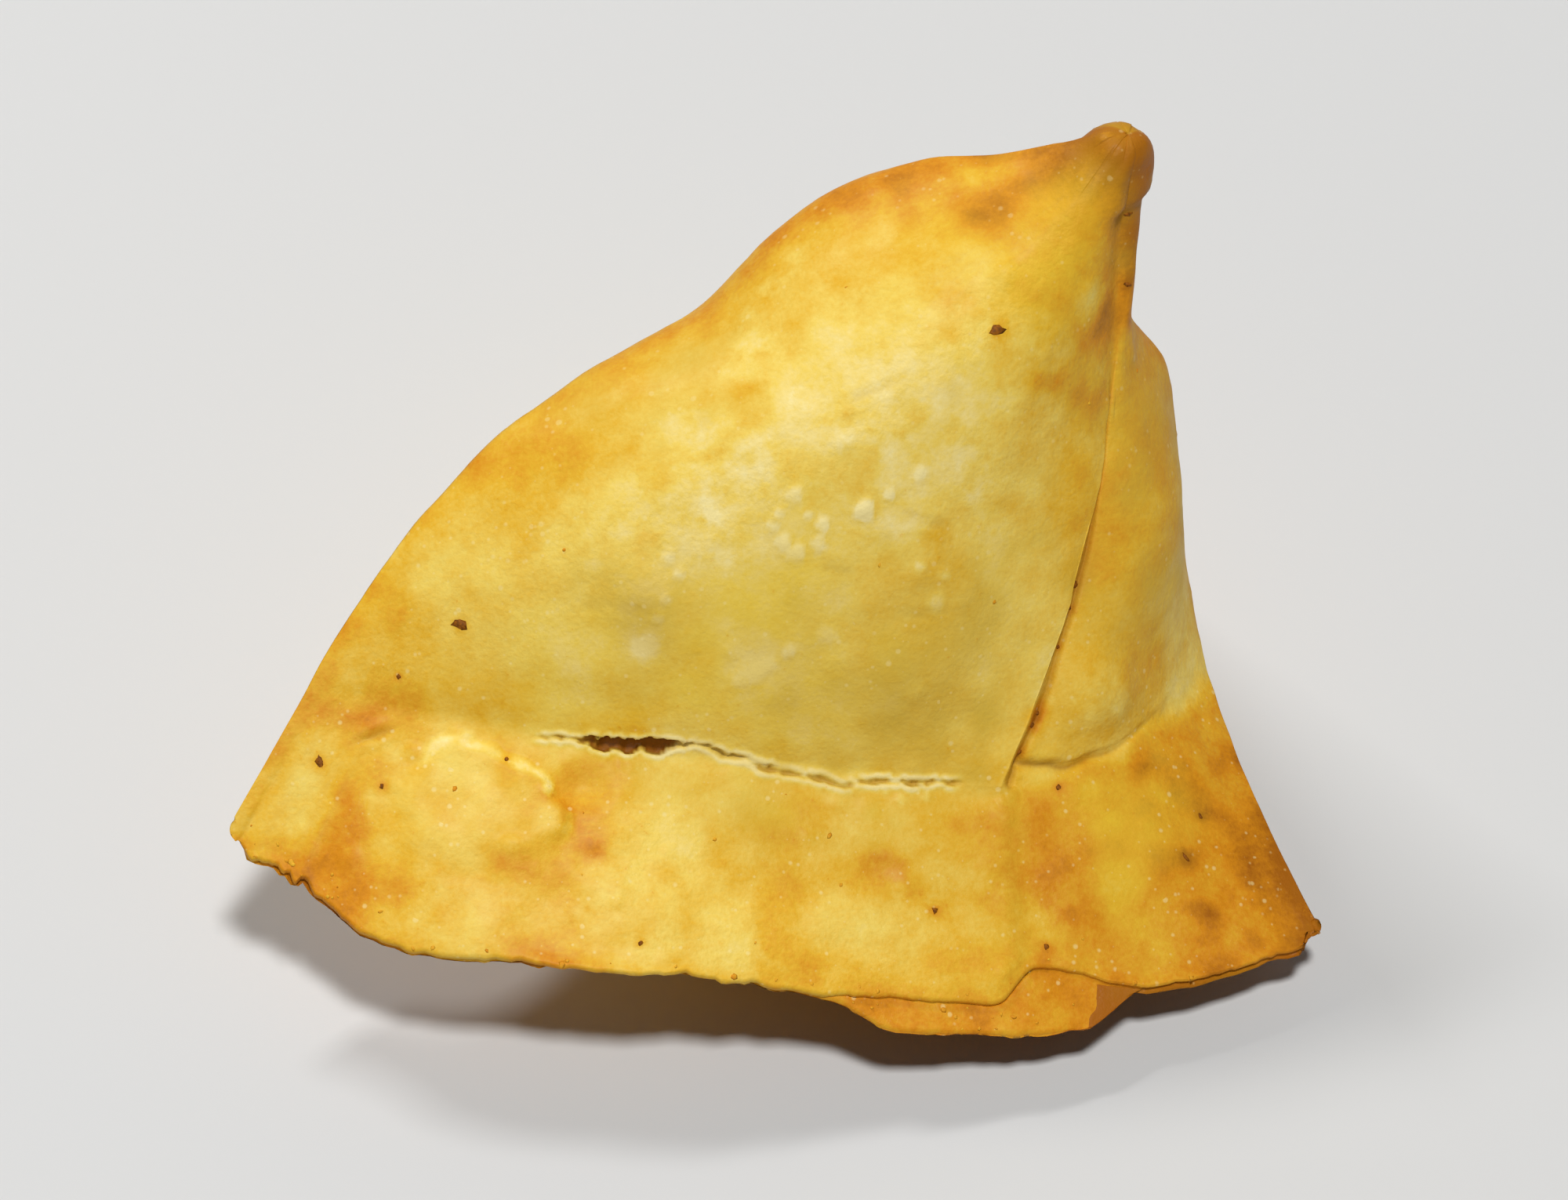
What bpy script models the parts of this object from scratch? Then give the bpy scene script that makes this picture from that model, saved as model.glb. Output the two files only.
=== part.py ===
"""Samosa: a fried dough cone, standing on its belly, with its mouth pressed into a flat flap.

The pastry is one closed loft. Sections run from the tip (0) over the body to the crease (1),
along the flap's upper layer to its edge (2) and along the lower layer to its edge (3).
Each section has a front half and a back half, both from the left ridge (0) to the right ridge (1).
X runs along the flap, Y away from it and Z up. Lengths are in millimetres up to the last step.
"""

import bpy
import numpy as np

MM = 0.001
NAME = "samosa"

# Ends of the ridges. The tip is then rounded down to the top height.
TOP_HEIGHT = 63.5
TIP = (29.0, 18.0, 65.0)
LEFT_CORNER = (-51.0, -23.5, 16.5)
RIGHT_CORNER = (50.3, -26.5, 5.5)
LEFT_HIP = (-43.5, -13.5, 24.5)
RIGHT_HIP = (41.3, 0.0, 11.5)
SEAM_FOOT = (19.3, -18.0, 16.5)

# Ridges and crowns of the body, each from the tip down to the crease.
LEFT_RIDGE = (TIP, (24.5, 19.1, 62.5), (19, 20.4, 59.4), (12, 21.5, 57.4), (2, 20, 52.6), (-8, 15, 45.2),
              (-18, 9, 43.5), (-30, 1, 37.4), LEFT_HIP)
SEAM_RIDGE = (TIP, (28.8, 16, 60.5), (29.2, 9.3, 46.5), (26.5, -1.5, 33), SEAM_FOOT)
RIGHT_RIDGE = (TIP, (30.8, 18.5, 61.5), (29.7, 16, 48.2), (35.9, 15, 37.8), (37.5, 12, 25), RIGHT_HIP)
FRONT_CROWN = (TIP, (23.0, 12.5, 59.5), (8, 0, 50), (-4, -12, 35.5), (-12, -17.7, 21.3))
RIGHT_CROWN = (TIP, (31, 16, 57.5), (31.5, 10.5, 45), (35, 1.5, 29.5), (32, -11, 15.3))
BELLY_CROWN = (TIP, (27, 24.5, 54), (19, 36, 37), (14, 38, 17), (10, 29.5, 0), (8, 11.5, -4.5),
               (6.5, -4.5, -3), (5.5, -16.5, 11.5))
SEAM_PLACE = 0.70
FLAT_BLEND = 1.5

# Flap: two layers of dough pressed together, the lower one showing as a tongue.
UPPER_EDGE = (LEFT_CORNER, (-43.4, -28, 15.5), (-37.6, -32.4, 14.3), (-31, -34.3, 14.1), (-23, -35.3, 13.9),
              (-14, -36, 13.2), (4, -36, 10), (19, -35.5, 8), (31, -33.6, 7), (41, -30.6, 6.2), RIGHT_CORNER)
NOTCH_DEPTH = 3.4
NOTCH_END = 0.83
FLAP_TILT = 24.0
FLAP_THICKNESS = 3.0
LAYER = 1.4
STEP_END = 2.1
EDGE_ROUNDING = 1.6
LIP = 0.6
TONGUE_REACH = 3.3
TONGUE_START = (0.53, 0.61)
TONGUE_END = (0.76, 0.83)
SIDE_HOLLOW = 0.9

# Overlap of the dough along the seam.
OVERLAP_HEIGHT = 0.9
OVERLAP_WIDTH = 0.09
OVERLAP_DROP = 0.012

BODY_ROWS = 30
DOUGH_COLOUR = (0.70, 0.42, 0.10, 1.0)
DOUGH_ROUGHNESS = 0.5


def through(points, place):
    """A smooth curve through the points, read at places from 0 to 1 of the length between them."""
    points = np.array(points, float)
    spans = np.linalg.norm(np.diff(points, axis=0), axis=1)
    knots = np.concatenate([[0], np.cumsum(spans)]) / spans.sum()
    width = np.diff(knots)[:, None]
    slope = np.diff(points, axis=0) / width
    inner = (slope[1:] * width[:-1] + slope[:-1] * width[1:]) / (width[1:] + width[:-1])
    tangent = np.concatenate([[2 * slope[0] - inner[0]], inner, [2 * slope[-1] - inner[-1]]])
    place = np.asarray(place, float)
    span = np.clip(np.searchsorted(knots, place, side="right") - 1, 0, len(width) - 1)
    f = ((place - knots[span]) / width[span, 0])[..., None]
    start = (2 * f**3 - 3 * f**2 + 1) * points[span] + (f**3 - 2 * f**2 + f) * width[span] * tangent[span]
    end = (3 * f**2 - 2 * f**3) * points[span + 1] + (f**3 - f**2) * width[span] * tangent[span + 1]
    return start + end


def ramp(value, low, high):
    """0 below low, 1 above high, and a smooth step between them."""
    f = np.clip((value - low) / (high - low), 0, 1)
    return f * f * (3 - 2 * f)


def hump(place, roundness):
    """An arch from 0 up to 1 and back: a parabola, or an ellipse where roundness is 1."""
    parabola = np.clip(4 * place * (1 - place), 0, 1)
    return (1 - roundness) * parabola + roundness * np.sqrt(parabola)


def arched(start, end, crown, place, roundness):
    """A straight line from start to end, pushed out so that its middle is on the crown."""
    place = place[..., None]
    push = crown - (start + end) / 2
    return start * (1 - place) + end * place + push * hump(place, roundness[..., None])


def pressed(distance):
    """Distances from a plane, with what is past the plane pressed flat onto it by a short blend."""
    blended = (distance + FLAT_BLEND) ** 2 / (4 * FLAT_BLEND)
    return np.where(distance > FLAT_BLEND, distance, np.where(distance < -FLAT_BLEND, 0, blended))


def body(rows, columns):
    """Front and back halves of the body's sections, from the tip (0) to the crease (1)."""
    rows = rows[:, None]
    columns = columns[None, :]
    left, seam, right = (through(rail, rows) for rail in (LEFT_RIDGE, SEAM_RIDGE, RIGHT_RIDGE))
    crowns = (FRONT_CROWN, RIGHT_CROWN, BELLY_CROWN)
    front_crown, right_crown, belly = (through(rail, rows) for rail in crowns)
    ridge_round = np.interp(rows, [0, 0.1, 0.5, 0.85, 1], [0.9, 0.7, 0.6, 0.35, 0.1])
    seam_round = np.interp(rows, [0, 0.1, 0.4, 1], [0.8, 0.5, 0.25, 0.1])
    main = np.clip(columns / SEAM_PLACE, 0, 1)
    side = np.clip((columns - SEAM_PLACE) / (1 - SEAM_PLACE), 0, 1)
    main_face = arched(left, seam, front_crown, main, ridge_round * (1 - main) + seam_round * main)
    side_face = arched(seam, right, right_crown, side, ridge_round * side + seam_round * (1 - side))
    front = np.where((columns < SEAM_PLACE)[..., None], main_face, side_face)
    back = arched(left, right, belly, columns, ridge_round + 0 * columns)
    front[..., 2] = TOP_HEIGHT - pressed(TOP_HEIGHT - front[..., 2])
    back[..., 2] = pressed(TOP_HEIGHT - pressed(TOP_HEIGHT - back[..., 2]))
    return front, back


def notch(columns):
    """How far the upper layer's edge steps back beside the seam."""
    return NOTCH_DEPTH * ramp(columns, SEAM_PLACE, SEAM_PLACE + OVERLAP_DROP) * (
        1 - ramp(columns, SEAM_PLACE + OVERLAP_DROP, NOTCH_END))


def tongue(columns):
    """How far the lower layer reaches past the upper one along the flap."""
    shown = ramp(columns, *TONGUE_START) * (1 - ramp(columns, *TONGUE_END))
    return LIP + (TONGUE_REACH - LIP) * shown


def flap(rows, columns):
    """Upper and lower faces of the flap.

    The upper layer runs from the crease (1) to its edge (2), where the face steps down onto the
    lower layer, which ends at 3. The underside is the same plane, moved down by the thickness.
    """
    crease, joint = body(np.array([1.0]), columns)
    tilt = np.radians(FLAP_TILT)
    up = np.array([0, -np.sin(tilt), np.cos(tilt)])
    out = np.array([0, -np.cos(tilt), -np.sin(tilt)])
    full_edge = through(UPPER_EDGE, columns)
    edge = full_edge - out * notch(columns)[:, None]
    length = LEFT_CORNER[0] - RIGHT_CORNER[0]
    inward = np.clip(np.abs(length) * np.minimum(columns, 1 - columns) / EDGE_ROUNDING, 0, 1)
    thickness = np.sqrt(1 - (1 - inward) ** 2)[:, None]
    rows = rows[:, None, None]
    on_upper = np.clip(rows - 1, 0, 1)
    on_lower = np.clip((rows - STEP_END) / (3 - STEP_END), 0, 1)
    rim = full_edge + out * tongue(columns)[:, None]
    hollow = SIDE_HOLLOW * columns[:, None] ** 3 * hump(on_upper, 0) * np.array([1, 0, 0])
    plane = crease + (edge - crease) * on_upper + (rim - edge) * on_lower - hollow
    top = plane - up * LAYER * thickness * ramp(rows, 2, STEP_END)
    under = plane - up * FLAP_THICKNESS * thickness
    root = joint - (crease - up * FLAP_THICKNESS * thickness)
    return top, under + root * (1 - ramp(rows, 1.0, 1.5))


def outward(surface):
    """Unit normals of a grid of points, by the cross product of its two directions."""
    along = np.gradient(surface, axis=0)
    across = np.gradient(surface, axis=1)
    normal = np.cross(along, across)
    return normal / np.maximum(np.linalg.norm(normal, axis=2, keepdims=True), 1e-9)


def overlap(rows, columns):
    """The dough's raised lip along the seam: a slow rise to the seam and a short drop behind it."""
    rise = np.clip(1 - (SEAM_PLACE - columns) / OVERLAP_WIDTH, 0, 1) ** 2
    drop = 1 - ramp(columns, SEAM_PLACE, SEAM_PLACE + OVERLAP_DROP)
    length = ramp(rows, 0.3, 0.6) * (1 - ramp(rows, 1.9, 2.0))
    return OVERLAP_HEIGHT * length[:, None] * (rise * drop)[None, :]


def sections():
    """Front and back halves of all the sections, as two grids of points."""
    body_rows = np.linspace(0, 1, BODY_ROWS + 1)
    flap_rows = np.concatenate([[1.07], np.linspace(1.2, 1.8, 4), [1.94, 2], np.linspace(STEP_END, 3, 4)])
    sides = np.array([0, 0.004, 0.012, 0.03])
    middle = np.linspace(0.06, 0.94, 34)
    seam = SEAM_PLACE + np.array([-0.01, 0, OVERLAP_DROP])
    columns = np.unique(np.concatenate([sides, middle, seam, 1 - sides]))
    body_front, body_back = body(body_rows, columns)
    flap_front, flap_back = flap(flap_rows, columns)
    front = np.concatenate([body_front, flap_front])
    back = np.concatenate([body_back, flap_back])
    rows = np.concatenate([body_rows, flap_rows])
    front += outward(front) * overlap(rows, columns)[..., None]
    return front, back


def loft(front, back):
    """One closed mesh: a point at the tip, a ring for each section and a strip along the flap's edge."""
    row_count, column_count = front.shape[:2]
    rings = np.concatenate([front[1:], back[1:, -2:0:-1]], axis=1)
    ring_size = rings.shape[1]
    points = np.concatenate([front[:1, 0], rings.reshape(-1, 3)])
    index = 1 + np.arange((row_count - 1) * ring_size).reshape(row_count - 1, ring_size)
    following = np.roll(index, -1, axis=1)
    faces = [(0, a, b) for a, b in zip(index[0], following[0])]
    walls = np.stack([index[:-1], index[1:], following[1:], following[:-1]], axis=-1)
    faces += [tuple(wall) for wall in walls.reshape(-1, 4)]
    top = index[-1, :column_count]
    under = np.concatenate([top[:1], index[-1, :column_count - 1:-1], top[-1:]])
    faces += [(top[0], under[1], top[1]), (top[-2], under[-2], top[-1])]
    faces += [tuple(face) for face in zip(top[1:-2], under[1:-2], under[2:-1], top[2:-1])]
    return points, faces


def centred(points):
    """The points with the middle of their box over the origin."""
    middle = (points.min(axis=0) + points.max(axis=0)) / 2
    return points - middle * np.array([1, 1, 0])


def dough():
    """Fried wheat dough: golden brown, a little glossy with oil."""
    material = bpy.data.materials.new("fried_dough")
    material.use_nodes = True
    shader = material.node_tree.nodes["Principled BSDF"]
    shader.inputs["Base Color"].default_value = DOUGH_COLOUR
    shader.inputs["Roughness"].default_value = DOUGH_ROUGHNESS
    shader.inputs["Metallic"].default_value = 0.0
    return material


def clear_scene():
    for thing in list(bpy.data.objects):
        bpy.data.objects.remove(thing, do_unlink=True)


def main():
    clear_scene()
    points, faces = loft(*sections())
    mesh = bpy.data.meshes.new(NAME)
    mesh.from_pydata((centred(points) * MM).tolist(), [], [[int(i) for i in face] for face in faces])
    mesh.validate()
    mesh.shade_smooth()
    mesh.materials.append(dough())
    collection = bpy.data.collections.new("Samosa")
    bpy.context.scene.collection.children.link(collection)
    collection.objects.link(bpy.data.objects.new(NAME, mesh))


if __name__ == "__main__":
    main()
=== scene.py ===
"""Samosa: the fried dough, its specks and its crumbs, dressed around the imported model."""

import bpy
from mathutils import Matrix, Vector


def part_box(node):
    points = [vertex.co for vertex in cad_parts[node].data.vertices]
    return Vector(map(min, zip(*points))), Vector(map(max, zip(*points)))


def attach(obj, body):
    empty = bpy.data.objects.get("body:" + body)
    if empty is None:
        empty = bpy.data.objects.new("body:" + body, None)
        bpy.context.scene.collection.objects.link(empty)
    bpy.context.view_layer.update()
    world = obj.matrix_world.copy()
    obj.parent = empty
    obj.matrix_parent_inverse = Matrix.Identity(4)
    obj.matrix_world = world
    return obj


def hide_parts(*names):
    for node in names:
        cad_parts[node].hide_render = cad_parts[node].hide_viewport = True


bl_info = {
    "name": "Samosa",
    "version": (1, 0, 0),
    "blender": (4, 5, 0),
    "location": "3D View > Sidebar > Samosa",
    "description": "Makes a fried samosa with its blisters, cracked crease, specks and crumbs",
    "category": "Add Mesh",
}

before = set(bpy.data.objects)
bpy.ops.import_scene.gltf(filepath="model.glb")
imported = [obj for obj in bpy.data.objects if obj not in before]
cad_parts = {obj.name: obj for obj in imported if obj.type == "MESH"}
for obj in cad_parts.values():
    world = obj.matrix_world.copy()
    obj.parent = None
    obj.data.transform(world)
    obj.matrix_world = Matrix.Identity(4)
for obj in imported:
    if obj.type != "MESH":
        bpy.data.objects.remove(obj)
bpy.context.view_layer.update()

from itertools import product

import bpy
import numpy as np
from bpy.props import FloatProperty, FloatVectorProperty, IntProperty, PointerProperty
from bpy.types import Operator, Panel, PropertyGroup
from mathutils import Matrix, Vector

NODE = "samosa"
BODY = "root"
PIECES = ("pastry", "carom_specks", "crust_crumbs")
MM = 0.001

# The form, in millimetres. X runs along the flap, Y away from it and Z up. Rows run from the tip (0)
# over the body to the crease (1), to the upper layer's edge (2) and to the lower layer's edge (3).
# Columns run from the left ridge (0) to the right ridge (1), in front and behind.
TOP_HEIGHT = 63.5
TIP = (29.0, 18.0, 65.0)
LEFT_CORNER = (-51.0, -23.5, 16.5)
RIGHT_CORNER = (50.3, -26.5, 5.5)
LEFT_HIP = (-43.5, -13.5, 24.5)
RIGHT_HIP = (41.3, 0.0, 11.5)
SEAM_FOOT = (19.3, -18.0, 16.5)
LEFT_RIDGE = (TIP, (24.5, 19.1, 62.5), (19, 20.4, 59.4), (12, 21.5, 57.4), (2, 20, 52.6), (-8, 15, 45.2),
              (-18, 9, 43.5), (-30, 1, 37.4), LEFT_HIP)
SEAM_RIDGE = (TIP, (28.8, 16, 60.5), (29.2, 9.3, 46.5), (26.5, -1.5, 33), SEAM_FOOT)
RIGHT_RIDGE = (TIP, (30.8, 18.5, 61.5), (29.7, 16, 48.2), (35.9, 15, 37.8), (37.5, 12, 25), RIGHT_HIP)
FRONT_CROWN = (TIP, (23.0, 12.5, 59.5), (8, 0, 50), (-4, -12, 35.5), (-12, -17.7, 21.3))
RIGHT_CROWN = (TIP, (31, 16, 57.5), (31.5, 10.5, 45), (35, 1.5, 29.5), (32, -11, 15.3))
BELLY_CROWN = (TIP, (27, 24.5, 54), (19, 36, 37), (14, 38, 17), (10, 29.5, 0), (8, 11.5, -4.5),
               (6.5, -4.5, -3), (5.5, -16.5, 11.5))
UPPER_EDGE = (LEFT_CORNER, (-43.4, -28, 15.5), (-37.6, -32.4, 14.3), (-31, -34.3, 14.1), (-23, -35.3, 13.9),
              (-14, -36, 13.2), (4, -36, 10), (19, -35.5, 8), (31, -33.6, 7), (41, -30.6, 6.2), RIGHT_CORNER)
SEAM_PLACE = 0.70
NUB_MIDDLE = (28.2, 18.0, 60.6)
NUB_RADIUS = 2.9
FLAT_BLEND = 1.5
NOTCH_DEPTH = 3.4
NOTCH_END = 0.83
NOTCH_START = 0.022
FLAP_TILT = np.radians(24.0)
FLAP_UP = np.array([0, -np.sin(FLAP_TILT), np.cos(FLAP_TILT)])
FLAP_OUT = np.array([0, -np.cos(FLAP_TILT), -np.sin(FLAP_TILT)])
FLAP_THICKNESS = 3.0
RIM_THICKNESS = 1.2
LAYER = 0.6
STEP_END = 2.1
EDGE_ROUNDING = 1.6
EDGE_RADIUS = 0.4
NICKS = ((0.020, 0.010, 0.5), (0.052, 0.016, 0.9), (0.066, 0.006, 0.4), (0.085, 0.014, 1.0), (0.42, 0.012, 0.4),
         (0.478, 0.008, 0.6))
LIP = 0.55
TONGUE_REACH = 3.3
TONGUE_START = (0.53, 0.61)
TONGUE_END = (0.76, 0.83)
SIDE_HOLLOW = 0.9

# The crack along the crease: (column, upper lip, lower lip), the lips in millimetres past the crease.
CRACK = (
    (0.225, 0.50, 0.52), (0.240, 0.14, 0.20), (0.262, -0.02, 0.08), (0.272, -0.08, 0.16), (0.279, -0.45, 0.35),
    (0.288, -0.40, 0.45), (0.301, -0.70, 0.60), (0.312, -0.85, 0.50), (0.326, -1.05, 0.55), (0.332, -1.15, 0.15),
    (0.348, -1.35, 0.15), (0.358, -1.25, -0.05), (0.364, -1.10, -0.30), (0.369, -0.95, -0.72), (0.386, -1.25, -1.02),
    (0.395, -1.20, -0.85), (0.414, -0.52, -0.30), (0.436, -0.50, -0.25), (0.461, 0.20, 0.40), (0.475, 0.25, 0.45),
    (0.489, 0.40, 0.58), (0.515, 0.65, 0.92), (0.527, 0.70, 0.92), (0.545, 0.95, 1.08), (0.561, 0.45, 0.55),
    (0.605, 0.25, 0.37), (0.636, -0.05, 0.05), (0.661, 0.00, 0.02),
)
# The fold on the right of the seam: (column, millimetres past the crease, depth).
SIDE_FOLD = ((0.704, -2.4, 0.8), (0.72, -1.5, 0.75), (0.743, -0.7, 0.7), (0.774, 0.3, 0.6), (0.80, 0.3, 0.5),
             (0.831, 0.5, 0.35), (0.853, 0.1, 0.2), (0.881, -0.6, 0.08), (0.91, -1.2, 0))
# The big blister on the left of the flap: its middle, and (angle, radius, width of its slope) round it.
BLISTER_MIDDLE = (-29.0, -23.5)
BLISTER_RIM = ((-180, 7.4, 2.5), (-130, 6.0, 4), (-80, 6.0, 4.5), (-30, 8.5, 3), (-8, 9.4, 1.2), (0, 9.5, 0.8),
               (10, 8.1, 0.7), (33, 6.6, 0.7), (52, 6.3, 0.7), (82, 6.4, 0.8), (110, 6.8, 1.0), (138, 6.7, 1.4),
               (162, 7.7, 2.0), (180, 7.4, 2.5))
# Bubbles in the crust: (row, column, radius in millimetres, height).
BUBBLES = (
    (0.614, 0.326, 0.9, 0.22), (0.640, 0.320, 0.7, 0.20), (0.658, 0.323, 0.8, 0.22), (0.676, 0.345, 0.9, 0.28),
    (0.684, 0.367, 1.0, 0.30), (0.664, 0.386, 0.9, 0.25), (0.639, 0.375, 0.8, 0.28), (0.628, 0.352, 0.6, 0.2),
    (0.602, 0.414, 1.1, 0.40), (0.583, 0.433, 0.8, 0.28), (0.615, 0.425, 0.6, 0.2), (0.545, 0.458, 0.8, 0.2),
    (0.664, 0.508, 0.7, 0.18), (0.676, 0.542, 0.6, 0.18), (0.720, 0.549, 1.0, 0.18), (0.788, 0.448, 1.0, 0.14),
    (0.826, 0.417, 0.9, 0.2), (0.845, 0.409, 0.8, 0.2), (0.875, 0.392, 1.4, 0.16), (0.862, 0.400, 1.0, 0.16),
    (0.735, 0.240, 0.7, 0.2), (0.750, 0.262, 0.7, 0.2), (0.790, 0.268, 0.6, 0.25), (0.815, 0.272, 0.5, 0.2),
    (1.09, 0.600, 0.6, 0.15), (1.07, 0.625, 0.6, 0.15), (1.06, 0.585, 0.5, 0.15), (1.25, 0.258, 0.6, 0.2),
)
# Wrinkles: (row and column of one end, row and column of the other, depth).
WRINKLES = (
    (0.600, 0.455, 0.606, 0.530, 0.16), (0.690, 0.395, 0.692, 0.445, 0.14), (0.74, 0.50, 0.72, 0.60, 0.08),
    (0.42, 0.36, 0.48, 0.30, 0.08), (0.83, 0.18, 0.80, 0.28, 0.10), (1.25, 0.06, 1.08, 0.10, 0.15),
)

# Places with a colour of their own: (row, column, radius in millimetres, strength). Some pale, gold and olive places
# also paint light and shade, as noted at each.
BROWN_PLACES = (
    (0.03, 0.70, 5.0, 0.25), (0.06, 0.66, 2.2, 0.15), (0.12, 0.38, 11.0, 0.34), (0.22, 0.06, 7.0, 0.26),
    (0.40, 0.03, 6.5, 0.22), (0.68, 0.05, 8.0, 0.20), (0.98, 0.16, 5.0, 0.12), (0.97, 0.30, 4.0, 0.08),
    (1.00, 0.06, 6.5, 0.10), (1.19, 0.285, 3.2, 0.26), (1.42, 0.586, 2.6, 0.50), (1.49, 0.755, 4.5, 0.12),
    (1.72, 0.97, 9.0, 0.36), (1.04, 0.875, 3.5, 0.14), (1.86, 0.674, 4.0, 0.10), (1.90, 0.10, 6.0, 0.30),
    (1.60, 0.275, 3.5, 0.12), (2.00, 0.99, 4.0, 0.12), (1.20, 0.94, 6.0, 0.12), (1.55, 0.86, 5.0, 0.16),
    (0.42, 0.86, 7.0, 0.26), (1.95, 0.77, 5.0, 0.08), (1.45, 0.42, 3.0, 0.08),
    (1.85, 0.31, 3.5, 0.10), (1.92, 0.55, 3.0, 0.10), (1.35, 0.65, 5.0, 0.14), (1.42, 0.14, 8.0, 0.24),
    (0.55, 0.12, 7.0, 0.08),
)
# Pale places: partly paler dough, partly painted light that brightens the lower front face.
PALE_PLACES = (
    (0.47, 0.34, 10.0, 0.62), (0.66, 0.32, 9.0, 0.48), (0.81, 0.05, 4.0, 0.22), (0.97, 0.02, 3.0, 0.22),
    (0.88, 0.40, 4.0, 0.30), (1.63, 0.34, 7.0, 0.28), (1.67, 0.545, 4.5, 0.28),
    (1.85, 0.44, 4.0, 0.30), (1.90, 0.20, 4.5, 0.18), (0.62, 0.16, 8.0, 0.35), (1.75, 0.60, 3.5, 0.28),
    (0.42, 0.54, 7.0, 0.30), (0.90, 0.22, 7.0, 0.36), (0.90, 0.50, 9.0, 0.32), (1.70, 0.85, 5.0, 0.14), (1.62, 0.03, 4.0, 0.24),
    (0.74, 0.17, 5.0, 0.45), (0.91, 0.95, 7.0, 0.55), (0.28, 0.66, 4.0, 0.16),
    (0.90, 0.78, 5.0, 0.20),
)
# Olive places: partly the dough's own greenish tone, partly painted shade where the lower front face and the side face
# turn from the light.
OLIVE_AND_PAINTED_SHADE_PLACES = (
    (0.80, 0.245, 4.6, 0.75), (0.51, 0.072, 4.0, 0.55), (0.61, 0.044, 3.5, 0.40), (0.76, 0.58, 7.0, 0.50),
    (0.88, 0.55, 8.0, 0.42), (0.80, 0.42, 6.0, 0.20), (1.24, 0.47, 4.0, 0.40), (0.76, 0.82, 8.0, 0.45),
    (0.50, 0.85, 9.0, 0.60),
)
# Gold places: partly oily yellow dough, partly painted light that brightens the lower front face.
GOLD_AND_PAINTED_LIGHT_PLACES = (
    (0.77, 0.36, 6.5, 0.55), (1.37, 0.837, 6.0, 0.65), (0.22, 0.40, 8.0, 0.40), (0.90, 0.42, 8.0, 0.40),
    (0.12, 0.45, 6.0, 0.35), (0.94, 0.25, 8.0, 0.35),
)

# Raised or sunk places: (row, column, radius along the flap, radius across it, height, edge sharpness).
SWELLINGS = (
    (1.22, 0.285, 4.5, 3.2, -0.45, 1.0), (1.66, 0.56, 6.0, 3.6, 0.28, 1.0), (1.72, 0.36, 8.0, 4.5, 0.30, 1.0),
    (1.50, 0.87, 7.0, 5.0, 0.35, 1.0), (0.90, 0.78, 7.0, 6.5, 1.0, 1.0),
    (1.30, 0.765, 5.0, 4.0, -0.25, 1.0), (1.42, 0.586, 2.5, 1.6, -0.22, 1.0), (0.80, 0.245, 5.0, 5.0, 0.45, 1.0),
    (0.83, 0.55, 9.0, 7.0, 0.5, 1.0), (0.94, 0.27, 8.0, 4.0, -0.35, 1.0),
)

# Dark specks of carom seed in the dough: (row, column, length, width, turn in degrees).
SPECKS = (
    (0.321, 0.433, 1.5, 0.9, 110), (0.888, 0.100, 1.5, 0.9, 70), (1.381, 0.044, 1.4, 0.8, 10),
    (0.689, 0.7075, 1.4, 0.9, 80), (1.093, 0.762, 0.55, 0.5, 0), (1.444, 0.922, 0.6, 0.45, 30),
    (1.557, 0.890, 1.2, 0.35, 50), (1.582, 0.636, 0.7, 0.6, 15), (1.883, 0.737, 0.6, 0.5, 40),
    (1.858, 0.376, 0.5, 0.45, 0), (1.130, 0.210, 0.5, 0.4, 0), (1.381, 0.107, 0.5, 0.4, 0),
    (0.963, 0.075, 0.55, 0.45, 0), (0.913, 0.711, 0.8, 0.5, 75), (0.888, 0.7115, 0.6, 0.4, 60),
    (0.955, 0.709, 0.7, 0.4, 80), (0.79, 0.709, 0.6, 0.4, 85), (0.73, 0.7085, 0.5, 0.4, 85),
    (0.14, 0.735, 0.9, 0.5, 85), (0.25, 0.74, 0.8, 0.45, 85),
)


def srgb(text):
    """Linear red, green and blue of an sRGB hex colour."""
    parts = [int(text[i:i + 2], 16) / 255 for i in (1, 3, 5)]
    return tuple(p / 12.92 if p <= 0.04045 else ((p + 0.055) / 1.055) ** 2.4 for p in parts)


def colour(name, description, text):
    return FloatVectorProperty(name=name, description=description, subtype="COLOR", min=0, max=1, default=srgb(text))


def millimetres(name, description, value):
    return FloatProperty(name=name, description=description, default=value * MM, unit="LENGTH", min=0, precision=5)


class DoughShape(PropertyGroup):
    """Sizes of the dough's relief."""

    swell: millimetres("Swell", "Height of the broad unevenness of the filled dough", 0.55)
    dimple: millimetres("Dimples", "Height of the unevenness a few millimetres wide", 0.15)
    grain: millimetres("Grain", "Height of the finest unevenness in the mesh", 0.05)
    overlap: millimetres("Seam overlap", "Height of the dough's lip along the seam", 1.15)
    crack_depth: millimetres("Crack depth", "Depth of a crack one millimetre wide; others in proportion", 1.0)
    ragged: millimetres("Ragged edge", "How far the flap's edges wander", 0.42)
    wave: millimetres("Flap wave", "How far the flap bends up and down along its length", 0.55)
    blisters: IntProperty(name="Blisters", description="Number of small frying blisters", default=420, min=0)


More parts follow.
